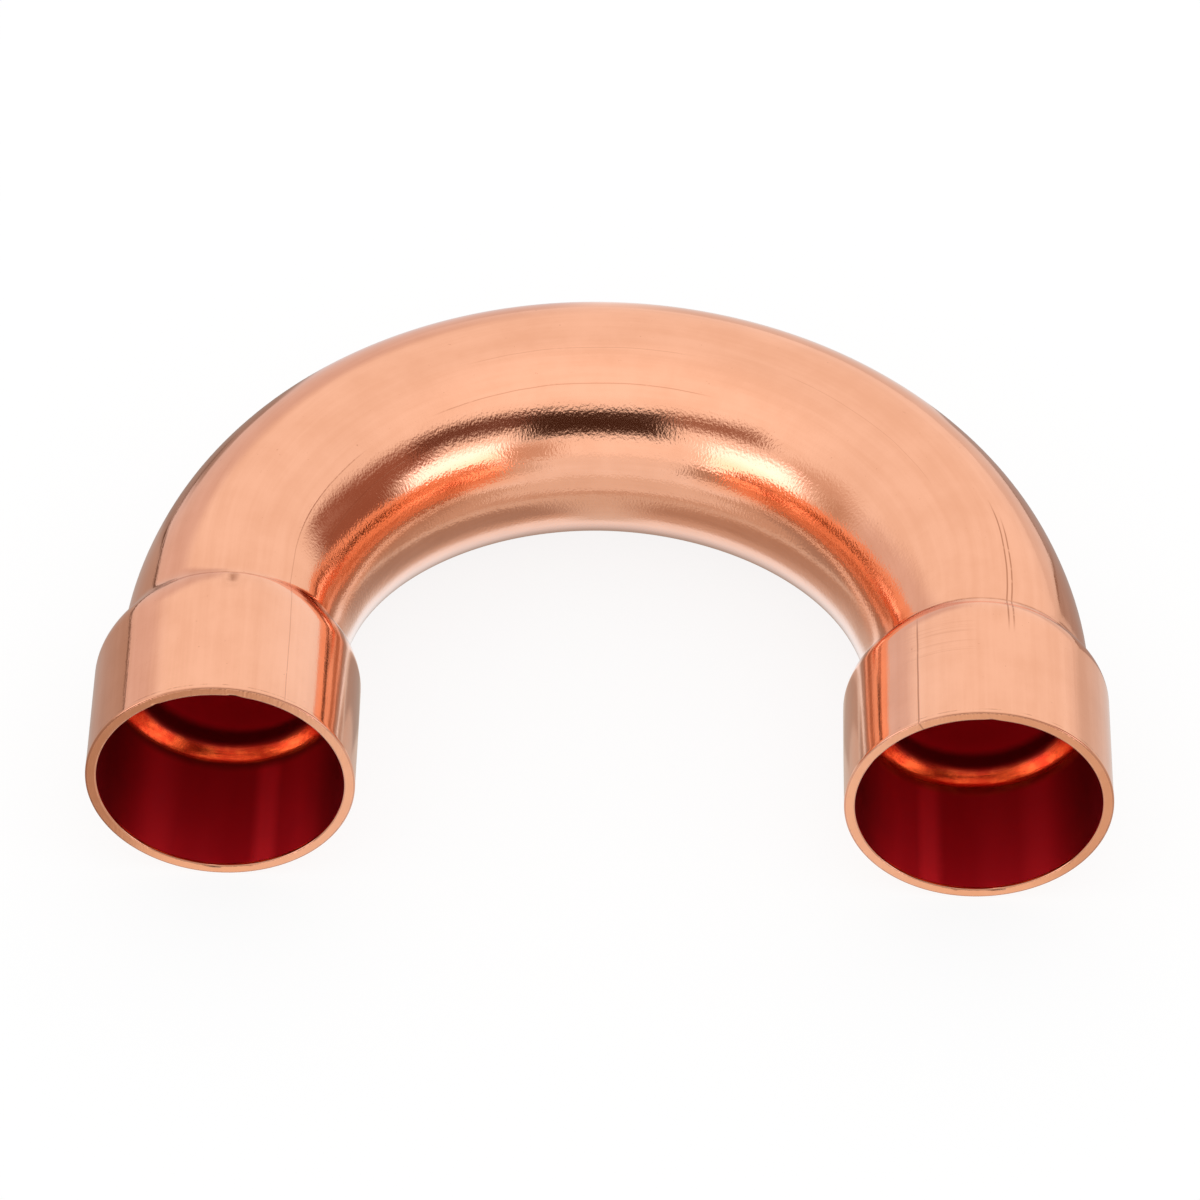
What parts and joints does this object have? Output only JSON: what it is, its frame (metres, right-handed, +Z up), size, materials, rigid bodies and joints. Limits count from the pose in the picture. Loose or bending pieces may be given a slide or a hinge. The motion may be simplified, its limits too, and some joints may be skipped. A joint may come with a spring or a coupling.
{
  "type": "return bend",
  "caption": "Copper tube bent back on itself into a U, with a round solder socket at the end of each leg, joining parallel pipes.",
  "frame": {"origin": "on the surface it lies on, under the middle of the fitting's length and width", "axes": "+Z up, at right angles to the plane of the bend; X across the two legs; both sockets open toward -Y and the bend is toward +Y"},
  "size_m": [0.0922, 0.0592, 0.0242],
  "materials": {
    "copper": "bright drawn copper, lightly polished"
  },
  "bodies": {
    "root": {"return_bend": "copper"}
  },
  "joints": []
}
